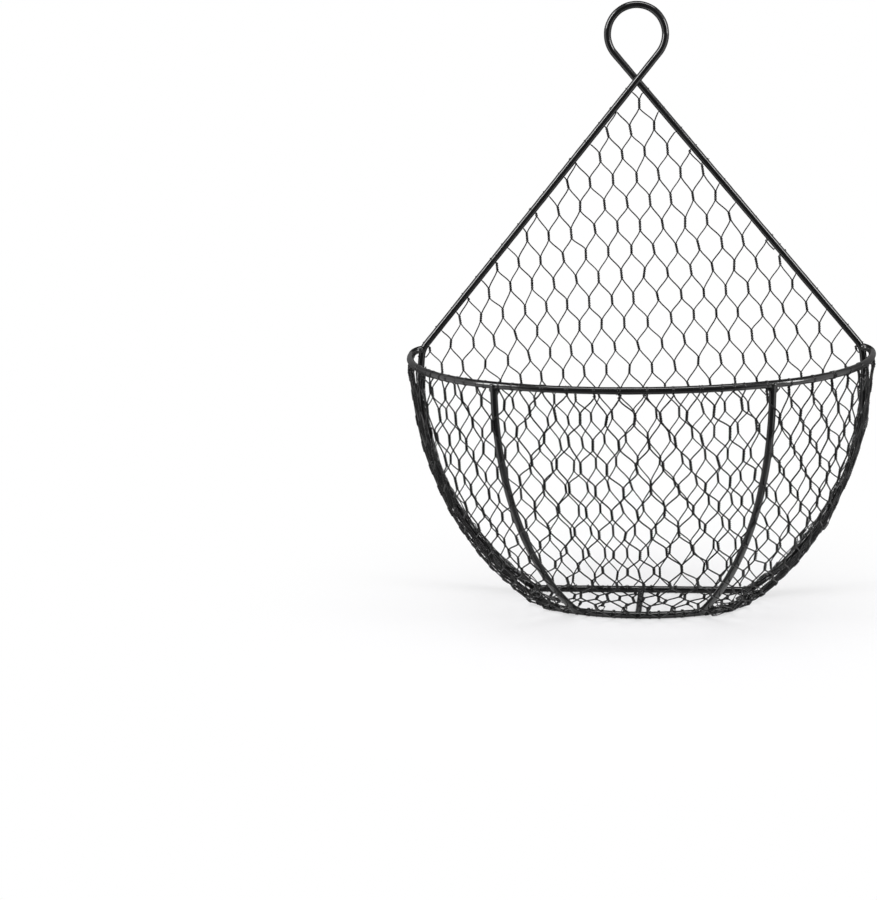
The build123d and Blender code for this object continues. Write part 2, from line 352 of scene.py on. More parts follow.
class Tubes:
    """Many round wires gathered into one mesh."""

    # Rings of a domed end, in radii: how far beyond the wire's end, and how wide
    DOME = ((0.22, 0.88), (0.36, 0.55))

    def __init__(self):
        self.verts = []
        self.faces = []
        self.caps = []
        self.count = 0

    def dome(self, point, heading, radius, a, b):
        """Rings of a domed end, outward from the end of the wire."""
        return [(point + heading * radius * push, radius * wide, a, b) for push, wide in self.DOME]

    def add(self, points, radius, sides, domed=False, closed=False):
        """One wire along these points, with flat or domed ends, or closed into a ring."""
        points = np.asarray(points, float)
        radius = np.broadcast_to(np.asarray(radius, float), (len(points),))
        a, b, heads = frames_of(points)
        if domed:
            first = self.dome(points[0], -heads[0], radius[0], a[0], b[0])[::-1]
            last = self.dome(points[-1], heads[-1], radius[-1], a[-1], b[-1])
            points, radius, a, b = (
                np.concatenate([[ring[k] for ring in first], part, [ring[k] for ring in last]])
                for k, part in enumerate((points, radius, a, b))
            )
        turn = np.arange(sides) * 2 * pi / sides
        ring = np.cos(turn)[None, :, None] * a[:, None] + np.sin(turn)[None, :, None] * b[:, None]
        verts = points[:, None] + ring * radius[:, None, None]
        rings = len(points)
        i = np.arange(rings if closed else rings - 1)[:, None]
        j = np.arange(sides)[None, :]
        after = (i + 1) % rings
        beside = (j + 1) % sides
        quads = np.stack([
            i * sides + j, i * sides + beside, after * sides + beside, after * sides + j
        ], -1).reshape(-1, 4) + self.count
        self.faces.append(quads)
        if not closed:
            self.caps.append((np.arange(sides)[::-1] + self.count).tolist())
            self.caps.append((np.arange(sides) + (rings - 1) * sides + self.count).tolist())
        self.verts.append(verts.reshape(-1, 3))
        self.count += rings * sides

    def piece(self, name, material):
        verts = np.concatenate(self.verts) * MM
        faces = np.concatenate(self.faces).tolist() + self.caps
        mesh = bpy.data.meshes.new(name)
        mesh.from_pydata(verts.tolist(), [], faces)
        mesh.update()
        mesh.polygons.foreach_set("use_smooth", [True] * len(mesh.polygons))
        mesh.materials.append(material)
        made = bpy.data.objects.new(name, mesh)
        bpy.context.scene.collection.objects.link(made)
        return made


def smooth_noise(seed, low, high, waves=7):
    """A smooth random field of two lengths, about -1 to 1, of low to high waves per millimetre."""
    source = np.random.default_rng(seed)
    rates = source.uniform(low, high, waves)
    angles = source.uniform(0, 2 * pi, waves)
    phases = source.uniform(0, 2 * pi, waves)

    def field(u, v):
        total = 0
        for rate, angle, phase in zip(rates, angles, phases):
            total = total + np.sin((u * cos(angle) + v * sin(angle)) * rate * 2 * pi + phase)
        return total / sqrt(waves)

    return field


# Materials, in metres
WHITE = (1, 1, 1, 1)
BLACK = (0.002, 0.002, 0.0022)
NEAR_BLACK = (0.006, 0.006, 0.0065)
# Painted highlights: pale grey flecks that stand in for glints on the fine wires of the gathered
# edge
PAINTED_GLINT_GREY = (0.22, 0.22, 0.225)
COAT_ROUGHNESS = 0.08
PEEL_STRENGTH = 0.5
PEEL_DEPTH = 0.0001


class Tree:
    """Shader nodes of a material or a world."""

    def __init__(self, owner):
        owner.use_nodes = True
        self.nodes = owner.node_tree.nodes
        self.links = owner.node_tree.links

    def fill(self, node, sockets):
        """Sets sockets to plain values, or links them to outputs of other nodes."""
        for name, value in sockets.items():
            if isinstance(value, bpy.types.NodeSocket):
                self.links.new(value, node.inputs[name])
            else:
                node.inputs[name].default_value = value

    def add(self, kind, sockets=None):
        made = self.nodes.new(kind)
        self.fill(made, sockets or {})
        return made

    def math(self, operation, first, second):
        made = self.nodes.new("ShaderNodeMath")
        made.operation = operation
        self.fill(made, {0: first, 1: second})
        return made.outputs[0]

    def faded(self, source, from_min, from_max, to_min, to_max):
        """The source taken smoothly from one range to the other, and held beyond its ends."""
        made = self.nodes.new("ShaderNodeMapRange")
        made.interpolation_type = "SMOOTHSTEP"
        self.fill(made, {
            "Value": source,
            "From Min": from_min,
            "From Max": from_max,
            "To Min": to_min,
            "To Max": to_max,
        })
        return made.outputs["Result"]

    def seen(self, rays, mirrored):
        """Two values: 1 where seen directly or through glass, and that or what gloss mirrors."""
        direct = self.math("MAXIMUM", rays["Is Camera Ray"], rays["Is Transmission Ray"])
        mirrored = self.math("MULTIPLY", rays["Is Glossy Ray"], mirrored)
        return direct, self.math("MAXIMUM", direct, mirrored)


def coat(name, light, rough, mirror, peel_scale, patch_scale=90.0, ramp=(0.35, 0.72)):
    """Glossy black dip coat, uneven in colour and gloss, with a faint orange-peel surface. Its
    colour patches run from black to light; on the gathered edge, light is a painted highlight grey.
    """
    material = bpy.data.materials.new(name)
    tree = Tree(material)
    place = tree.add("ShaderNodeTexCoord").outputs["Object"]
    patches = tree.add("ShaderNodeTexNoise", {
        "Vector": place, "Scale": patch_scale, "Detail": 6.0,
    }).outputs["Fac"]
    shade = tree.add("ShaderNodeValToRGB", {"Fac": patches})
    for i, colour in enumerate((BLACK, light)):
        shade.color_ramp.elements[i].position = ramp[i]
        shade.color_ramp.elements[i].color = (*colour, 1)
    gloss = tree.add("ShaderNodeMapRange", {
        "Value": patches, "From Min": 0.3, "From Max": 0.7, "To Min": rough[0], "To Max": rough[1],
    })
    peel = tree.add("ShaderNodeTexNoise", {"Vector": place, "Scale": peel_scale, "Detail": 3.0})
    bump = tree.add("ShaderNodeBump", {
        "Height": peel.outputs["Fac"], "Strength": PEEL_STRENGTH, "Distance": PEEL_DEPTH,
    })
    tree.fill(tree.nodes["Principled BSDF"], {
        "Base Color": shade.outputs["Color"],
        "Roughness": gloss.outputs["Result"],
        "Normal": bump.outputs["Normal"],
        "Metallic": 0.0,
        "Specular IOR Level": mirror,
        "Coat Weight": mirror,
        "Coat Roughness": COAT_ROUGHNESS,
    })
    return material


frame_coat = coat("frame_coat", NEAR_BLACK, (0.1, 0.18), 0.5, 420.0)
net_coat = coat("net_coat", NEAR_BLACK, (0.14, 0.24), 0.25, 900.0)
# The gathered edge's pale grey flecks are painted highlights of its fine wires
bundle_coat = coat("bundle_coat", PAINTED_GLINT_GREY, (0.12, 0.2), 0.6, 900.0, 430.0, (0.54, 0.63))


# Netting
class Net:
    """Hexagonal netting: wires that cross at twists, laid out in lengths u and v on a surface."""

    # Half turns of a twist, the range of its length, how far it leans, and the points of a twist
    # and of the run between two
    HALF_TURNS = 5
    SPREAD = (0.85, 1.12)
    LEAN = 0.28
    TWIST_POINTS = 17
    RUN_POINTS = 4

    def __init__(
        self, width, pitch, twist, origin, rows, columns, seed,
        radius=NET_R, jitter=0.33, slack=0.3, coil=1.2,
    ):
        self.width = width
        self.pitch = pitch
        self.twist = twist
        self.origin = origin
        self.rows = rows
        self.columns = columns
        self.radius = radius
        self.slack = slack
        self.coil = coil
        source = np.random.default_rng(seed)
        shape = (rows[1] - rows[0] + 1, columns[1] - columns[0] + 1, 2)
        self.shift = source.normal(0, jitter, shape)
        self.spread = source.uniform(*self.SPREAD, shape[:2])
        self.lean = source.normal(0, self.LEAN, shape[:2])

    def centre(self, row, column):
        """Place, length and lean of one twist."""
        u = self.origin[0] + (column + (0.5 if row % 2 else 0)) * self.width
        v = self.origin[1] + row * self.pitch
        i, j = row - self.rows[0], column - self.columns[0]
        shift = self.shift[i, j]
        return u + shift[0], v + shift[1], self.twist * self.spread[i, j], self.lean[i, j]

    def wires(self):
        """Every wire as arrays of u, v, the offset across and the offset off the surface."""
        low, high = self.columns
        first, last = self.rows
        reach = last - first
        runs = []
        for family in (1, -1):
            for start in range(low - reach, high + reach + 1):
                cells = []
                for row in range(first, last + 1):
                    half_columns = 2 * start + family * (row - first) + first % 2
                    column = (half_columns - row % 2) // 2
                    if low <= column <= high:
                        cells.append((row, column))
                if len(cells) > 1:
                    runs.append(self.path(cells, family))
        return runs

    def path(self, cells, family):
        """One wire of a family, through the twists of these cells."""
        radius = self.radius * self.coil
        share = np.linspace(-1, 1, self.TWIST_POINTS)
        phase = (pi if family > 0 else 0) + self.HALF_TURNS / 2 * pi * (share + 1)
        q = np.linspace(0, 1, self.RUN_POINTS + 2)[1:-1]
        soft = (1 - self.slack) * q + self.slack * eased(q)
        us, vs, dx, dn = [], [], [], []
        before = None
        for row, column in cells:
            u, v, twist, lean = self.centre(row, column)
            if before is not None:
                start_u = before[0] + before[3]
                start_v = before[1] + before[2] / 2
                us.append(start_u + (u - lean - before[0] - before[3]) * soft)
                vs.append(start_v + (v - twist / 2 - start_v) * q)
                dx.append(family * radius * (1 - 2 * soft))
                dn.append(0 * q)
            us.append(u + lean * share)
            vs.append(v + share * twist / 2)
            dx.append(radius * np.cos(phase))
            dn.append(radius * np.sin(phase))
            before = (u, v, twist, lean)
        return tuple(np.concatenate(part) for part in (us, vs, dx, dn))


class Rail:
    """A thick wire that ends of netting are wound round, thinned and partly sunk in its coat."""

    # Length between two points of the rail, and least distance from it that gives a direction. Then
    # for what is wound on it, the points of a turn, the fewest in all and how loose the last may be
    STEP = 0.8
    LEAST_AWAY = 0.2
    POINTS_PER_TURN = 16
    FEWEST_POINTS = 4
    LOOSE = 0.3

    def __init__(self, points, radius, thin=0.3, proud=0.25):
        self.thin = thin
        self.proud = proud
        self.points = resampled(points, self.STEP)
        self.heads = unit(np.gradient(self.points, axis=0))
        self.radius = radius

    def wrap(self, point, lean, turns, drift):
        """Turns of a wire that arrives at this point, on the side that lean points to."""
        i = int(np.argmin(((self.points - point) ** 2).sum(1)))
        centre, head = self.points[i], self.heads[i]
        away = point - centre
        away = away - head * away.dot(head)
        if np.linalg.norm(away) < self.LEAST_AWAY:
            away = lean - head * lean.dot(head)
        first = unit(away)
        second = np.cross(head, first)
        if second.dot(lean) < 0:
            second = -second
        reach = self.radius + self.proud
        count = max(int(turns * self.POINTS_PER_TURN), self.FEWEST_POINTS)
        touch = np.arccos(min(reach / max(np.linalg.norm(away), reach), 1.0))
        angle = touch + np.linspace(0, turns * 2 * pi, count)
        travel = drift * np.linspace(0, turns, count)
        ends = centre + reach * (np.cos(angle)[:, None] * first + np.sin(angle)[:, None] * second)
        steps = i + (travel / self.STEP).astype(int)
        track = self.points[np.clip(steps, 0, len(self.points) - 1)] - centre
        loose = np.linspace(0, 1, count) ** 3 * rng.uniform(0, self.LOOSE)
        ends = ends + track + loose[:, None] * (ends - centre) / reach
        ends[:, 2] = np.maximum(ends[:, 2], self.thin)
        return ends


# Wires of netting: the shortest that are made, their gap to the thick wires beside them, and how
# far an end moves along its rail in a turn
NET_SIDES = 6
LEAST_POINTS = 4
LEAST_LENGTH = 5.0
NET_CLEAR = 0.6
TIE_DRIFT = (0.9, 1.3)
ties = Tubes()


def trimmed(run, left_over, start, stop):
    """The points of a wire from start to stop, led on to where nothing is left over."""
    kept = [run[:, start:stop]]
    if start > 0:
        share = left_over[start] / (left_over[start] - left_over[start - 1])
        kept.insert(0, run[:, start : start + 1] * (1 - share) + run[:, start - 1 : start] * share)
    if stop < run.shape[1]:
        share = left_over[stop - 1] / (left_over[stop - 1] - left_over[stop])
        kept.append(run[:, stop - 1 : stop] * (1 - share) + run[:, stop : stop + 1] * share)
    return np.concatenate(kept, axis=1)


def net_tubes(tubes, net, surface, room, rail_for, wrap_lean, turns=(0.8, 1.5)):
    """Adds each wire of a net inside its border, and to ties each end wound on its rail."""
    for run in net.wires():
        run = np.array(run)
        left_over = room(run[0], run[1])
        inside = left_over > 0
        edges = np.flatnonzero(np.diff(np.concatenate([[0], inside.astype(int), [0]])))
        for start, stop in zip(edges[::2], edges[1::2]):
            if stop - start < LEAST_POINTS:
                continue
            u, v, dx, dn = trimmed(run, left_over, start, stop)
            points, across, off = surface(u, v)
            line_points = points + across * dx[:, None] + off * dn[:, None]
            if lengths_of(line_points)[-1] < LEAST_LENGTH:
                continue
            for end, cut in ((0, start > 0), (-1, stop < run.shape[1])):
                rail = rail_for(u[end], v[end]) if cut else None
                if rail is None:
                    continue
                tip = line_points[end]
                lean = wrap_lean(off[end])
                drift = rng.choice((-1, 1)) * rng.uniform(*TIE_DRIFT)
                wound = rail.wrap(tip, lean, rng.uniform(*turns), drift)
                ties.add(np.concatenate([[tip], wound]), rail.thin, NET_SIDES)
            tubes.add(line_points, net.radius, NET_SIDES)


def distance_inside(points, outline):
    """Distance of each flat point to a closed outline, above zero inside it."""
    start = outline
    step = np.roll(outline, -1, axis=0) - start
    square = (step**2).sum(1) + 1e-9
    away = points[:, None] - start[None]
    share = np.clip((away * step[None]).sum(2) / square, 0, 1)
    gap = np.sqrt(((away - share[..., None] * step[None]) ** 2).sum(2)).min(1)
    x, z = points[:, 0:1], points[:, 1:2]
    x0, z0 = start[:, 0], start[:, 1]
    x1, z1 = x0 + step[:, 0], z0 + step[:, 1]
    crosses = (z0 > z) != (z1 > z)
    with np.errstate(divide="ignore", invalid="ignore"):
        at = x0 + (z - z0) / (z1 - z0) * (x1 - x0)
    inside = (crosses & (x < at)).sum(1) % 2 == 1
    return np.where(inside, gap, -gap)


# Back panel. Its net is tilted, and its cells sink at the left and rise at the right. That starts
# this far from the middle, takes this length and comes to this much
FLAT = frame_half(-1, 0)
PANEL = chain(joined(FLAT, RUNS[:4]), line(FLAT["bend"][-1], vec(0, FRAME_Y, CROSSING_Z)))
PANEL_OUTLINE = np.concatenate([PANEL, (PANEL * vec(-1, 1, 1))[::-1]])[:, [0, 2]][::3]
PANEL_RAIL_LEFT = Rail(joined(LEFT), WIRE_R, proud=0.15)
PANEL_RAIL_RIGHT = Rail(joined(RIGHT), WIRE_R, proud=0.15)
PANEL_TILT = radians(4.7)
PANEL_MIDDLE = (0.9, 244.4)
PANEL_SINK = (72, 32, 4.3)
PANEL_RISE = (115, 18, 2.8)
PANEL_SHIFT = 0.7
PANEL_SWAY = 0.45
panel_sway = smooth_noise(11, low=0.006, high=0.02)
panel_shift_u = smooth_noise(12, low=0.005, high=0.015)
panel_shift_v = smooth_noise(13, low=0.005, high=0.015)


def panel_flat(u, v):
    u = u + PANEL_SHIFT * panel_shift_u(u, v)
    v = v + PANEL_SHIFT * panel_shift_v(u, v)
    x = PANEL_MIDDLE[0] + u * cos(PANEL_TILT) - v * sin(PANEL_TILT)
    z = PANEL_MIDDLE[1] + u * sin(PANEL_TILT) + v * cos(PANEL_TILT)
    sunk = eased(np.clip((-x - PANEL_SINK[0]) / PANEL_SINK[1], 0, 1))
    raised = eased(np.clip((x - PANEL_RISE[0]) / PANEL_RISE[1], 0, 1))
    return x, z - PANEL_SINK[2] * sunk + PANEL_RISE[2] * raised


def panel_surface(u, v):
    x, z = panel_flat(u, v)
    points = np.stack([x, FRAME_Y - PANEL_SWAY * panel_sway(u, v), z], -1)
    across = np.broadcast_to(vec(cos(PANEL_TILT), 0, sin(PANEL_TILT)), points.shape)
    off = np.broadcast_to(vec(0, -1, 0), points.shape)
    return points, across, off


def panel_room(u, v):
    return distance_inside(np.stack(panel_flat(u, v), -1), PANEL_OUTLINE) - WIRE_R - NET_CLEAR


def panel_rail(u, v):
    x, _ = panel_flat(u, v)
    return PANEL_RAIL_LEFT if x < 0 else PANEL_RAIL_RIGHT


back_net = Net(
    width=14.4, pitch=15.35, twist=7.2, origin=(0, 0), rows=(-19, 8), columns=(-16, 16),
    seed=21, radius=PANEL_NET_R,
)
back = Tubes()
net_tubes(
    back, back_net, panel_surface, panel_room, panel_rail, lambda off: vec(0, 1, 0), (0.35, 0.5)
)


# Bowl. Its sheet is wider than the wall by SPARE at each side, and crowds up over GATHER there. Up
# to TIED from the middle it is tied to the rim
GATHER = 24.0
SPARE = 42.0
TIED = 168.0
NET_GAP = 0.12
NET_OUT = WIRE_R + 2 * NET_R + NET_GAP
BOWL_SWAY = 0.15
BOWL_SHIFT = (0.8, 0.6)

# Where the sheet ends above the base, and under the rim where it is tied and where it is free
FOOT_ROOM = 0.8
TIED_ROOM = 2.5
FREE_ROOM = 0.5

# How far under the rim the net reaches the wall, and over which length it is led in to it
RIM_TUCK = 2.4
TUCK_LENGTH = 5

# How far it stands off more over the upper ribs, and from and over which shares of the height
OVER_RIBS = 0.6
OVER_RIBS_FROM = 0.55
OVER_RIBS_OVER = 0.45

# The rows sag and tilt up to SAG_REACH from the middle, and the sheet leans sideways round a point
# this far up
SAG = 0.0012
SAG_REACH = 90
ROW_TILT = 0.02
SHEET_LEAN = 0.028
SHEET_UPRIGHT = 154
bowl_sway = smooth_noise(31, low=0.008, high=0.03)
bowl_shift_u = smooth_noise(32, low=0.006, high=0.02)
bowl_shift_v = smooth_noise(33, low=0.006, high=0.02)


def drawn(u, v):
    """Place in the length round and up the wall of a place in the sheet."""
    sag = SAG * np.minimum(np.abs(u), SAG_REACH) ** 2 + ROW_TILT * np.clip(u, -SAG_REACH, SAG_REACH)
    round_wall = u + SHEET_LEAN * (SHEET_UPRIGHT - v) + BOWL_SHIFT[0] * bowl_shift_u(u, v)
    return round_wall, v + sag + BOWL_SHIFT[1] * bowl_shift_v(u, v)


def gathered(u, total):
    """Place along the wall of a place in the sheet, which crowds up near the legs."""
    free = total - GATHER
    over = np.maximum(np.abs(u) - free, 0)
    along = np.minimum(np.abs(u), free) + GATHER * (1 - np.exp(-over / GATHER))
    return np.sign(u) * along


def bowl_point(u, v):
    u, v = drawn(u, v)
    z = climbed(np.clip(v, 0, CLIMB))
    total = half_length(z, NET_OUT) - WIRE_R - NET_CLEAR
    tuck = np.clip((CLIMB - RIM_TUCK - v) / TUCK_LENGTH, 0, 1)
    over_ribs = np.clip((z / RIM_HEIGHT - OVER_RIBS_FROM) / OVER_RIBS_OVER, 0, 1)
    out = NET_OUT + BOWL_SWAY + BOWL_SWAY * bowl_sway(u, v) + OVER_RIBS * np.sin(pi * over_ribs)
    return wall_point(gathered(u, total), z, out * tuck * (2 - tuck))


def bowl_surface(u, v):
    points = bowl_point(u, v)
    step = 0.4
    across = unit(bowl_point(u + step, v) - bowl_point(u - step, v) + 1e-9)
    up = unit(bowl_point(u, v + step) - bowl_point(u, v - step) + vec(0, 0, 1e-6))
    off = unit(np.cross(across, up))
    return points, across, off


def bowl_place(u, v):
    """Place of the sheet on the wall, and what is left there to its free side edge."""
    u, v = drawn(u, v)
    total = half_length(climbed(np.clip(v, 0, CLIMB)), NET_OUT)
    return u, v, total + SPARE - np.abs(u)


def bowl_room(u, v):
    u, v, side = bowl_place(u, v)
    top = CLIMB - np.where(np.abs(u) < TIED, TIED_ROOM, FREE_ROOM)
    return np.minimum(np.minimum(v - FOOT_ROOM, top - v), side)


RIM_RAIL = Rail(RIM, WIRE_R, thin=0.24, proud=0.06)
HOOP_RAIL = Rail(HOOP, WIRE_R, thin=0.42, proud=0.3)


def bowl_rail(u, v):
    u, v, side = bowl_place(u, v)
    if side < min(v, CLIMB - v):
        return None
    if v < CLIMB / 2:
        return HOOP_RAIL
    return RIM_RAIL if abs(u) < TIED else None


bowl_net = Net(
    width=16.0, pitch=15.58, twist=7.6, origin=(10.2, -2.4), rows=(-2, 13), columns=(-17, 16),
    seed=41,
)
bowl = Tubes()
net_tubes(bowl, bowl_net, bowl_surface, bowl_room, bowl_rail, lambda off: off)


# Floor
FLOOR_TILT = radians(-9)
FLOOR_MIDDLE_Y = 30
FLOOR_SWAY = 0.25
FLOOR_CLEAR = 1.0
FLOOR_NET_Z = BASE_Z + BAR_R + NET_R * 2 + FLOOR_SWAY
FLOOR_OUTLINE = np.concatenate([HOOP, [HOOP[0]]])[::3, [0, 1]]
FLOOR_RAIL = Rail(chain(HOOP, line(HOOP[-1], HOOP[0])), WIRE_R)
floor_sway = smooth_noise(51, low=0.01, high=0.03)


def floor_flat(u, v):
    x = u * cos(FLOOR_TILT) - v * sin(FLOOR_TILT)
    return x, FLOOR_MIDDLE_Y + u * sin(FLOOR_TILT) + v * cos(FLOOR_TILT)


def floor_surface(u, v):
    x, y = floor_flat(u, v)
    points = np.stack([x, y, FLOOR_NET_Z + FLOOR_SWAY * floor_sway(u, v)], -1)
    across = np.broadcast_to(vec(cos(FLOOR_TILT), sin(FLOOR_TILT), 0), points.shape)
    off = np.broadcast_to(vec(0, 0, 1), points.shape)
    return points, across, off


def floor_room(u, v):
    return distance_inside(np.stack(floor_flat(u, v), -1), FLOOR_OUTLINE) - WIRE_R - FLOOR_CLEAR


floor_net = Net(
    width=15.0, pitch=15.3, twist=7.6, origin=(2, 0), rows=(-5, 5), columns=(-7, 7), seed=61
)
base = Tubes()
net_tubes(
    base, floor_net, floor_surface, floor_room, lambda u, v: FLOOR_RAIL, lambda off: vec(0, 0, 1.0)
)


# Crushed edge of the netting, round the sides of the hoop and up both legs. It starts this far from
# the middle, leaves the hoop this far before the frame, meets the leg, and ends this far under the
# rim
SLEEVE_START = 44
SLEEVE_TURN = 7
SLEEVE_MEET = 0.3
SLEEVE_DROP = 9
SLEEVE_STEP = 0.8

# Its net is rolled round the wire at CRUSHED_R, with cells that shift CRUSHED_SHIFT times as far
# along it, and lies CRUSHED_GAP off it and not below CRUSHED_LOW. It puffs up, and more so where it
# is loose: fully up to LOOSE_TO, and then less and less over LOOSE_FADE
CRUSHED_PITCH = 13.5
CRUSHED_R = 2.9
CRUSHED_SHIFT = 4
CRUSHED_GAP = 0.15
CRUSHED_SWAY = 0.2
CRUSHED_TURN = 0.5
CRUSHED_LOW = 2.2 * NET_R
PUFF = 0.6
PUFF_PLACE = 40
LOOSE_PUFF = 1.7
LOOSE_SHARE = 0.3
LOOSE_TO = 90
LOOSE_FADE = 80


def sleeve(tubes, side, half, seed):
    """The netting crushed round one side of the hoop and its leg, up to the rim."""
    hoop = HOOP[(HOOP[:, 0] * side > SLEEVE_START) & (HOOP[:, 1] < FRAME_Y - SLEEVE_TURN)][::side]
    foot = half["leg"][0] + (half["leg"][1] - half["leg"][0]) * 3
    turn = tangent_arc(hoop[-1], vec(0, 1, 0), foot)[0]
    heights = half["leg"][:, 2]
    leg = half["leg"][(heights > foot[2] + SLEEVE_MEET) & (heights < RIM_Z - SLEEVE_DROP)]
    centre = resampled(chain(hoop, turn, leg), SLEEVE_STEP)
    along = lengths_of(centre)
    outward, front = frames_of(centre)[:2]
    swell = smooth_noise(seed, low=0.008, high=0.05)
    drift = smooth_noise(seed + 1, low=0.003, high=0.02)

    def surface(u, v):
        v = np.clip(v, 0, along[-1])
        base_points, out, fore = (between(v, along, values) for values in (centre, outward, front))
        loose = 1 - np.clip((v - LOOSE_TO) / LOOSE_FADE, 0, 1)
        puffed = np.clip(swell(u * 2 + PUFF_PLACE, v) + LOOSE_SHARE * loose, 0, 2)
        radius = WIRE_R + BUNDLE_NET_R + CRUSHED_GAP + CRUSHED_SWAY * swell(u, v)
        radius = radius + (PUFF + LOOSE_PUFF * loose) * puffed
        angle = u / CRUSHED_R + CRUSHED_TURN * drift(u, v)
        off = np.cos(angle)[:, None] * out + np.sin(angle)[:, None] * fore
        across = -np.sin(angle)[:, None] * out + np.cos(angle)[:, None] * fore
        points = base_points + off * radius[:, None]
        points[:, 2] = np.maximum(points[:, 2], CRUSHED_LOW)
        return points, across, off

    def room(u, v):
        return np.minimum(v, along[-1] - v)

    net = Net(
        width=3.6, pitch=CRUSHED_PITCH, twist=6.4, origin=(0, 0),
        rows=(0, ceil(along[-1] / CRUSHED_PITCH)), columns=(-2, 2),
        seed=seed, radius=BUNDLE_NET_R, jitter=0.9, slack=0.4, coil=1.35,
    )
    net.shift[..., 1] *= CRUSHED_SHIFT
    net_tubes(tubes, net, surface, room, lambda u, v: None, None)


bundle = Tubes()
sleeve(bundle, -1, LEFT, 71)
sleeve(bundle, 1, RIGHT, 81)


# Thick wires
WIRE_SIDES = 20
WIRE_STEP = 1.3
UNEVEN = 0.035
FLARE_LENGTH = 1.3


def add_thick(name, points, radius, node, seed, flare=(0.0, 0.0), closed=False):
    """A thick wire with a slightly uneven coat, which flares by this much at its welded ends."""
    points = resampled(points, WIRE_STEP)
    along = lengths_of(points)
    uneven = smooth_noise(seed, low=0.01, high=0.12)
    width = radius + UNEVEN * uneven(along, 0 * along)
    for amount, distance in zip(flare, (along, along[-1] - along)):
        width = width + amount * np.exp(-distance / FLARE_LENGTH)
    if closed:
        points, width = points[:-1], width[:-1]
    tubes = Tubes()
    tubes.add(points, width, WIRE_SIDES, domed=not closed, closed=closed)
    made = tubes.piece(name, frame_coat)
    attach(made, "root")
    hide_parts(node)


add_thick("frame_wire", FRAME, WIRE_R, "back_frame", 101, closed=True)
add_thick("rim_wire", RIM, WIRE_R, "rim", 102)
add_thick("hoop_wire", HOOP, WIRE_R, "base_hoop", 103, flare=(0.1, 0.1))
add_thick("rib_wire_left", RIBS[-1], WIRE_R, "rib_left", 104, flare=(0.1, 0.9))
add_thick("rib_wire_right", RIBS[1], WIRE_R, "rib_right", 105, flare=(0.1, 0.9))
add_thick("bar_wire", BAR, BAR_R, "base_bar", 106, flare=(0.3, 0.3))

# Weld beads: rim ends on the shoulders, ribs and bars on the wires they meet. Each has half its
# length and its radius, and some a shift from the end of the wire, given for the right side
BEAD_SIDES = 14
BEAD_RINGS = 11
BEAD_END_SHARE = 0.96
RIM_BEAD = (2.8, 1.6)
RIM_BEAD_SHIFT = (1.2, 1.9, -0.9)
RIM_BEAD_HEADING = (1, 0.3, 0.2)
RIB_FOOT_BEAD = (3.4, 2.5)
RIB_TOP_BEAD = (3.1, 2.2)
RIB_TOP_BEAD_DROP = 0.6
RIB_TOP_BEAD_SLANT = 0.3
HOOP_BEAD = (3.6, 2.1)
HOOP_BEAD_SHIFT = (-1.2, -1.5, 0)
BAR_BEAD = (3.4, 2.05)
beads = Tubes()


def bead(centre, heading, reach, radius):
    share = np.linspace(-BEAD_END_SHARE, BEAD_END_SHARE, BEAD_RINGS)
    points = centre + unit(heading) * (share * reach)[:, None]
    beads.add(points, radius * np.sqrt(1 - share**2), BEAD_SIDES)


for side, tip, corner in ((-1, RIM[0], HOOP[0]), (1, RIM[-1], HOOP[-1])):
    mirror = vec(side, 1, 1)
    rib = RIBS[side]
    bead(tip + mirror * RIM_BEAD_SHIFT, mirror * RIM_BEAD_HEADING, *RIM_BEAD)
    bead(rib[1], np.cross(rib[0] - rib[2], vec(0, 0, 1)), *RIB_FOOT_BEAD)
    rib_top = rib[-2] - vec(0, 0, RIB_TOP_BEAD_DROP)
    bead(rib_top, vec(1, side * RIB_TOP_BEAD_SLANT, 0), *RIB_TOP_BEAD)
    bead(corner + mirror * HOOP_BEAD_SHIFT, vec(1, 0, 0), *HOOP_BEAD)
for end in (BAR[0], BAR[-1]):
    bead(end, vec(1, 0, 0), *BAR_BEAD)
made = beads.piece("weld_beads", frame_coat)
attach(made, "root")

for name, tubes, node in (
    ("back_net", back, "back_netting"),
    ("bowl_net", bowl, "bowl_netting"),
    ("floor_net", base, "base_netting"),
):
    made = tubes.piece(name, net_coat)
    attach(made, "root")
    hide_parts(node)

made = ties.piece("tied_ends", frame_coat)
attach(made, "root")

made = bundle.piece("gathered_edge", bundle_coat)
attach(made, "root")


# Stage, in metres
FLOOR_REACH = 6.0
FLOOR_COLOUR = (0.95, 0.945, 0.97, 1)
FLOOR_ROUGHNESS = 0.28
FLOOR_MIRROR = 0.25
ROOM_LIGHT = 0.45


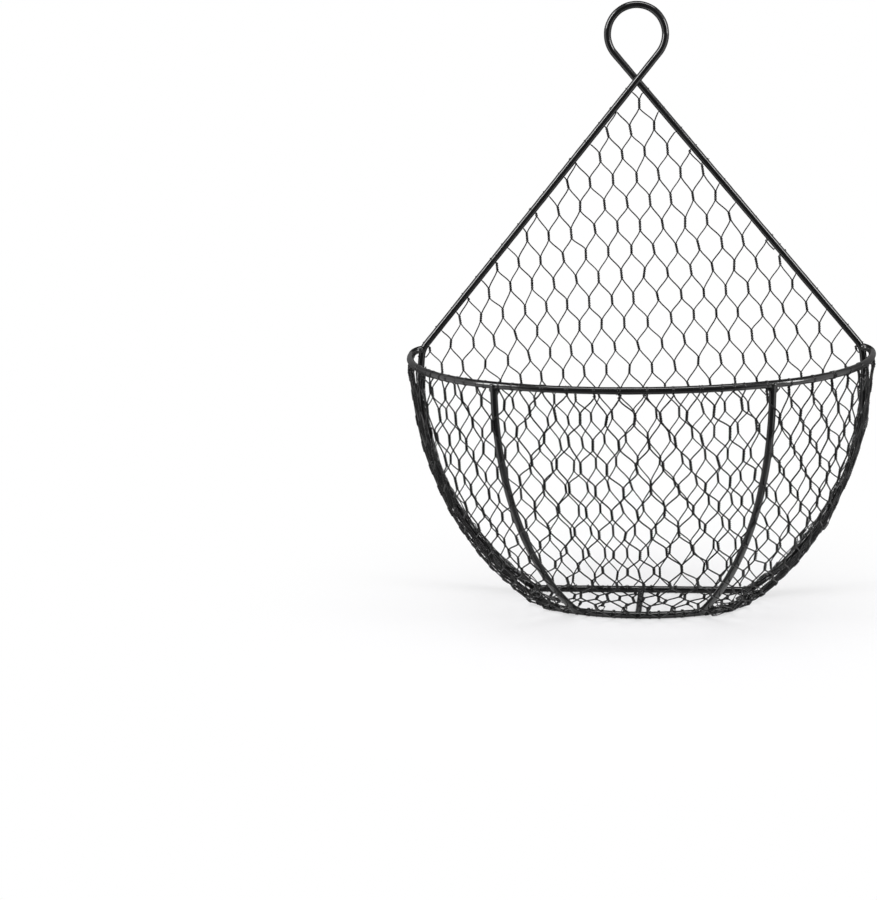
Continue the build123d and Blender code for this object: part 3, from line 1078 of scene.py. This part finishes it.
def floor():
    side = FLOOR_REACH
    corners = [(-side, -side, 0), (side, -side, 0), (side, side, 0), (-side, side, 0)]
    mesh = bpy.data.meshes.new("floor")
    mesh.from_pydata(corners, [], [(0, 1, 2, 3)])
    made = bpy.data.objects.new("floor", mesh)
    bpy.context.scene.collection.objects.link(made)
    material = bpy.data.materials.new("floor_white")
    tree = Tree(material)
    rays = tree.add("ShaderNodeLightPath").outputs
    place = tree.add("ShaderNodeTexCoord").outputs["Object"]
    length = tree.nodes.new("ShaderNodeVectorMath")
    length.operation = "LENGTH"
    tree.fill(length, {0: place})
    reach = length.outputs["Value"]
    axes = tree.add("ShaderNodeSeparateXYZ", {"Vector": place}).outputs

    # What glossy coats see of the floor: a little pale close to the basket, pale at both sides, and
    # dark in front and behind
    heading = tree.math("DIVIDE", axes["Y"], reach)
    behind_front = tree.faded(heading, -0.8, -0.5, 0.05, 1.0)
    before_back = tree.faded(heading, 0.0, 0.5, 1.0, 0.05)
    aside = tree.math("MULTIPLY", behind_front, before_back)
    near = tree.faded(reach, 0.16, 0.4, 0.22, 0.05)
    pale = tree.math("MAXIMUM", aside, near)

    tone = tree.nodes.new("ShaderNodeMix")
    tone.data_type = "RGBA"
    tree.fill(tone, {
        "Factor": tree.math("SUBTRACT", 1.0, rays["Is Glossy Ray"]), "A": pale, "B": FLOOR_COLOUR,
    })
    shader = tree.nodes["Principled BSDF"]
    tree.fill(shader, {
        "Base Color": tone.outputs["Result"],
        "Roughness": FLOOR_ROUGHNESS,
        "Specular IOR Level": FLOOR_MIRROR,
    })
    glow = tree.add("ShaderNodeEmission", {"Color": WHITE, "Strength": 1.0})
    _, seen = tree.seen(rays, pale)
    amount = tree.math("MULTIPLY", seen, tree.faded(reach, 0.02, 0.3, 0.5, 1.0))
    mix = tree.add("ShaderNodeMixShader", {"Fac": amount, 1: shader.outputs[0], 2: glow.outputs[0]})
    tree.fill(tree.nodes["Material Output"], {"Surface": mix.outputs[0]})
    mesh.materials.append(material)


floor()


def world():
    made = bpy.data.worlds.new("studio")
    bpy.context.scene.world = made
    tree = Tree(made)
    rays = tree.add("ShaderNodeLightPath").outputs
    place = tree.add("ShaderNodeTexCoord").outputs["Generated"]
    axes = tree.add("ShaderNodeSeparateXYZ", {"Vector": place}).outputs

    # What glossy coats see of the room: white at both sides, dark in front, overhead and behind
    behind_front = tree.faded(axes["Y"], -0.8, -0.5, 0.1, 1.0)
    before_back = tree.faded(axes["Y"], 0.1, 0.7, 1.0, 0.2)
    aside = tree.math("MULTIPLY", behind_front, before_back)
    pale = tree.math("MULTIPLY", aside, tree.faded(axes["Z"], 0.55, 0.8, 1.0, 0.2))
    direct, seen = tree.seen(rays, pale)
    lit = tree.math("SUBTRACT", 1.0, tree.math("MAXIMUM", direct, rays["Is Glossy Ray"]))
    strength = tree.math("ADD", tree.math("MULTIPLY", lit, ROOM_LIGHT), seen)
    tree.fill(tree.nodes["Background"], {"Color": WHITE, "Strength": strength})


world()


def softbox(name, place, target, size, power):
    data = bpy.data.lights.new(name, "AREA")
    data.shape = "RECTANGLE"
    data.size, data.size_y = size
    data.energy = power
    made = bpy.data.objects.new(name, data)
    made.location = place
    made.rotation_euler = (Vector(target) - Vector(place)).to_track_quat("-Z", "Y").to_euler()
    bpy.context.scene.collection.objects.link(made)


softbox("key", place=(-1.2, -0.65, 0.8), target=(0, 0, 0.18), size=(0.36, 0.8), power=11)
softbox("fill", place=(1.28, -0.55, 0.78), target=(0, 0, 0.18), size=(0.3, 0.75), power=9)
softbox("top", place=(0.0, -0.2, 1.5), target=(0, 0, 0.1), size=(1.2, 0.4), power=9)


def camera():
    """The camera at the photograph's place, in millimetres and radians."""
    yaw, pitch, roll = 0.13834, 0.23488, -0.0318
    target = vec(0, -58, 180)
    distance = 1254.37
    across, above = -113.4, -52.0
    focal_pixels, frame_pixels, sensor = 2127.97, 900, 36
    back = vec(sin(yaw) * cos(pitch), -cos(yaw) * cos(pitch), sin(pitch))
    level = vec(cos(yaw), sin(yaw), 0)
    up = np.cross(back, level)
    right = cos(roll) * level + sin(roll) * up
    upright = -sin(roll) * level + cos(roll) * up
    place = target + across * right + above * upright + distance * back
    data = bpy.data.cameras.new("camera")
    data.sensor_fit = "VERTICAL"
    data.sensor_height = sensor
    data.lens = focal_pixels * sensor / frame_pixels
    data.clip_start = 0.05
    data.clip_end = 40
    made = bpy.data.objects.new("camera", data)
    turned = Matrix([right, upright, back]).transposed().to_4x4()
    made.matrix_world = Matrix.Translation(Vector(place * MM)) @ turned
    bpy.context.scene.collection.objects.link(made)
    bpy.context.scene.camera = made


camera()
bpy.context.scene.view_settings.view_transform = "Standard"

bpy.context.view_layer.update()
